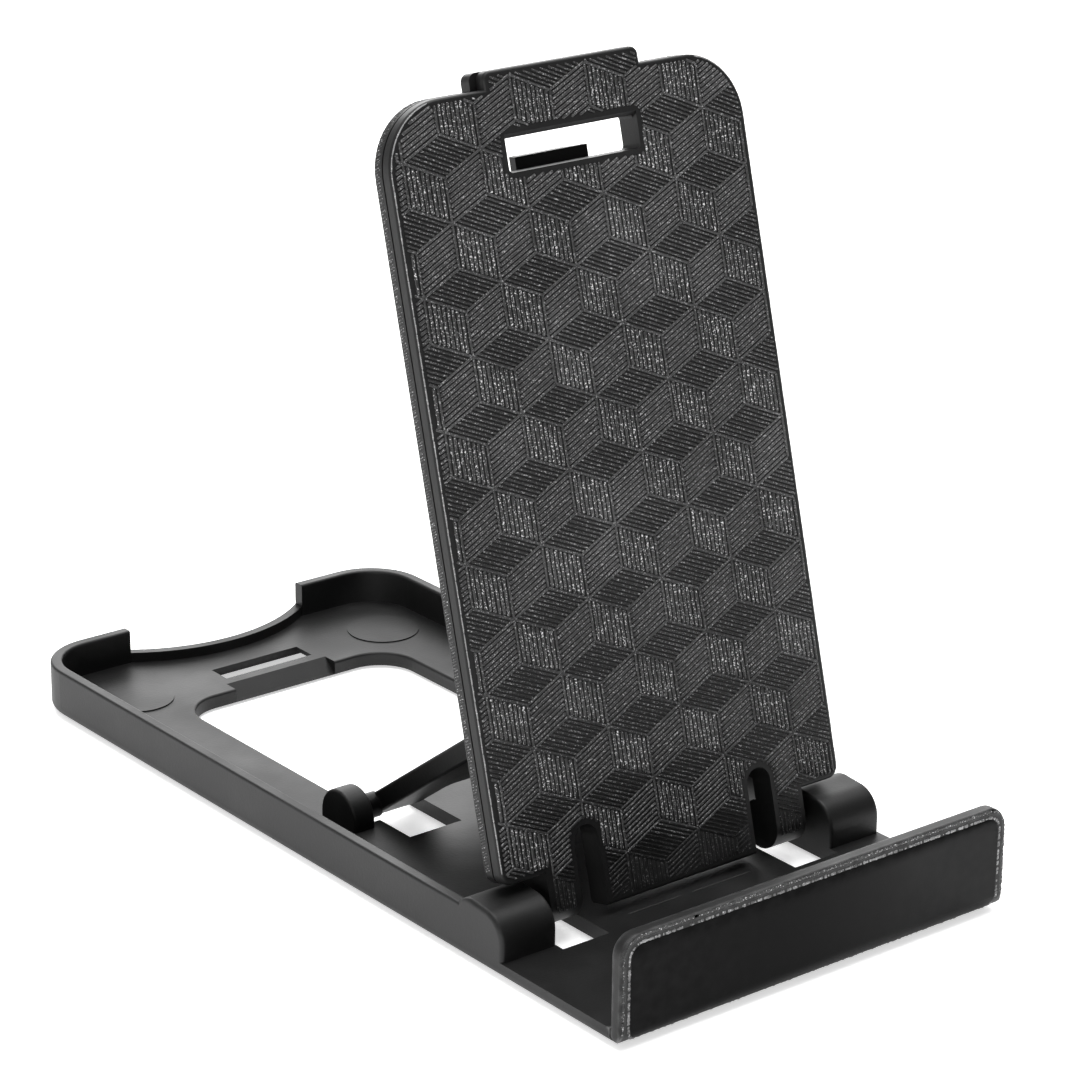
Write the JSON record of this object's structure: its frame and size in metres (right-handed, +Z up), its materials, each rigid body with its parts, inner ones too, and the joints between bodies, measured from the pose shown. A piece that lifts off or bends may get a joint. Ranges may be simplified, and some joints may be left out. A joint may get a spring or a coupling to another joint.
{
  "type": "phone stand",
  "caption": "Folding desk stand for a phone: a shallow tray with an upright front ledge, a hinged patterned back plate and a strut that props it from behind.",
  "frame": {"origin": "centre of the footprint, on the plane the rubber pads stand on", "axes": "+Z up; +Y from the front ledge to the rear of the tray; +X to the right when facing the ledge from the front"},
  "size_m": [0.058, 0.1234, 0.097],
  "materials": {
    "tray_plastic": "satin moulded black, worn brighter on the top edges",
    "plate_plastic": "satin moulded black, front face ribbed in a tumbling-block pattern",
    "strut_plastic": "satin moulded black",
    "pad_rubber": "matt soft black"
  },
  "bodies": {
    "tray": {"base_tray": "tray_plastic", "pad_front_left": "pad_rubber", "pad_front_right": "pad_rubber", "pad_rear_left": "pad_rubber", "pad_rear_right": "pad_rubber"},
    "plate": {"back_plate": "plate_plastic"},
    "strut": {"support_strut": "strut_plastic"}
  },
  "joints": [
    {"name": "plate_fold", "type": "hinge", "parent": "tray", "child": "plate", "pos_m": [0, -0.0346, 0.0051], "axis": [-1, 0, 0], "range_deg": [0, 75.2]},
    {"name": "strut_fold", "type": "hinge", "parent": "tray", "child": "strut", "pos_m": [0, 0.0012, 0.0034], "axis": [-1, 0, 0], "range_deg": [0, 143.5]}
  ],
  "couplings": [
    {"joint": "strut_fold", "follows": "plate_fold", "ratio": 1.908}
  ]
}
